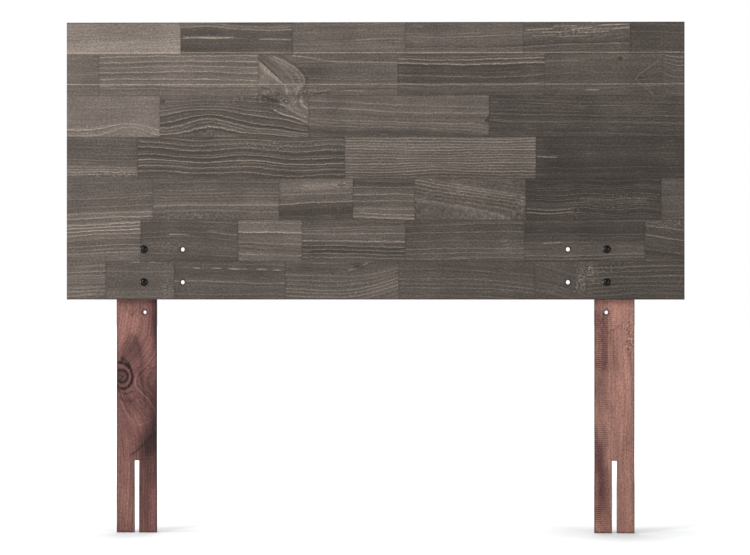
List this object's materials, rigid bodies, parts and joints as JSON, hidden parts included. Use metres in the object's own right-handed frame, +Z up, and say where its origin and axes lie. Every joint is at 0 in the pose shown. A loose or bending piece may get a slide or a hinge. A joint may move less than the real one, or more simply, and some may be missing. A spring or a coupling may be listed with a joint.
{
  "type": "bed headboard",
  "caption": "Reclaimed-look bed headboard: grey stained panel of finger-jointed staves with two V-grooves, bolted to two reddish legs with open slots at the feet.",
  "frame": {"origin": "centre of the whole footprint, on the floor", "axes": "+X to the right seen from the front, +Y to the back, +Z up"},
  "size_m": [1.372, 0.0612, 1.135],
  "materials": {
    "grey_stained_pine": "matte",
    "red_stained_pine": "satin",
    "black_steel": "gloss",
    "zinc_steel": "satin"
  },
  "bodies": {
    "root": {"stave_1_1": "grey_stained_pine", "stave_1_2": "grey_stained_pine", "stave_1_3": "grey_stained_pine", "stave_1_4": "grey_stained_pine", "stave_1_5": "grey_stained_pine", "stave_1_6": "grey_stained_pine", "stave_2_1": "grey_stained_pine", "stave_2_2": "grey_stained_pine", "stave_2_3": "grey_stained_pine", "stave_2_4": "grey_stained_pine", "stave_2_5": "grey_stained_pine", "stave_2_6": "grey_stained_pine", "stave_3_1": "grey_stained_pine", "stave_3_2": "grey_stained_pine", "stave_3_3": "grey_stained_pine", "stave_3_4": "grey_stained_pine", "stave_4_1": "grey_stained_pine", "stave_4_2": "grey_stained_pine", "stave_4_3": "grey_stained_pine", "stave_4_4": "grey_stained_pine", "stave_5_1": "grey_stained_pine", "stave_5_2": "grey_stained_pine", "stave_5_3": "grey_stained_pine", "stave_5_4": "grey_stained_pine", "stave_5_5": "grey_stained_pine", "stave_5_6": "grey_stained_pine", "stave_5_7": "grey_stained_pine", "stave_6_1": "grey_stained_pine", "stave_6_2": "grey_stained_pine", "stave_6_3": "grey_stained_pine", "stave_6_4": "grey_stained_pine", "stave_6_5": "grey_stained_pine", "stave_6_6": "grey_stained_pine", "stave_6_7": "grey_stained_pine", "stave_7_1": "grey_stained_pine", "stave_7_2": "grey_stained_pine", "stave_7_3": "grey_stained_pine", "stave_7_4": "grey_stained_pine", "stave_7_5": "grey_stained_pine", "stave_7_6": "grey_stained_pine", "stave_7_7": "grey_stained_pine", "leg_left": "red_stained_pine", "leg_right": "red_stained_pine", "bolt_left_upper": "black_steel", "bolt_left_lower": "black_steel", "bolt_right_upper": "black_steel", "bolt_right_lower": "black_steel"},
    "left_upper_washer": {"washer_left_upper": "zinc_steel"},
    "left_upper_nut": {"nut_left_upper": "zinc_steel"},
    "left_lower_washer": {"washer_left_lower": "zinc_steel"},
    "left_lower_nut": {"nut_left_lower": "zinc_steel"},
    "right_upper_washer": {"washer_right_upper": "zinc_steel"},
    "right_upper_nut": {"nut_right_upper": "zinc_steel"},
    "right_lower_washer": {"washer_right_lower": "zinc_steel"},
    "right_lower_nut": {"nut_right_lower": "zinc_steel"}
  },
  "joints": [
    {"name": "left_upper_travel", "type": "slide", "parent": "root", "child": "left_upper_washer", "axis": [0, 1, 0], "range_m": [0, 0.00988]},
    {"name": "left_upper_spin", "type": "hinge", "parent": "left_upper_washer", "child": "left_upper_nut", "pos_m": [-0.514, 0.0134, 0.6305], "axis": [0, 1, 0], "range_deg": [0, 2520]},
    {"name": "left_lower_travel", "type": "slide", "parent": "root", "child": "left_lower_washer", "axis": [0, 1, 0], "range_m": [0, 0.00988]},
    {"name": "left_lower_spin", "type": "hinge", "parent": "left_lower_washer", "child": "left_lower_nut", "pos_m": [-0.514, 0.0134, 0.5575], "axis": [0, 1, 0], "range_deg": [0, 2520]},
    {"name": "right_upper_travel", "type": "slide", "parent": "root", "child": "right_upper_washer", "axis": [0, 1, 0], "range_m": [0, 0.00988]},
    {"name": "right_upper_spin", "type": "hinge", "parent": "right_upper_washer", "child": "right_upper_nut", "pos_m": [0.514, 0.0134, 0.6305], "axis": [0, 1, 0], "range_deg": [0, 2520]},
    {"name": "right_lower_travel", "type": "slide", "parent": "root", "child": "right_lower_washer", "axis": [0, 1, 0], "range_m": [0, 0.00988]},
    {"name": "right_lower_spin", "type": "hinge", "parent": "right_lower_washer", "child": "right_lower_nut", "pos_m": [0.514, 0.0134, 0.5575], "axis": [0, 1, 0], "range_deg": [0, 2520]}
  ],
  "couplings": [
    {"joint": "left_upper_spin", "follows": "left_upper_travel", "rad_per_m": 4452.7},
    {"joint": "left_lower_spin", "follows": "left_lower_travel", "rad_per_m": 4452.7},
    {"joint": "right_upper_spin", "follows": "right_upper_travel", "rad_per_m": 4452.7},
    {"joint": "right_lower_spin", "follows": "right_lower_travel", "rad_per_m": 4452.7}
  ]
}
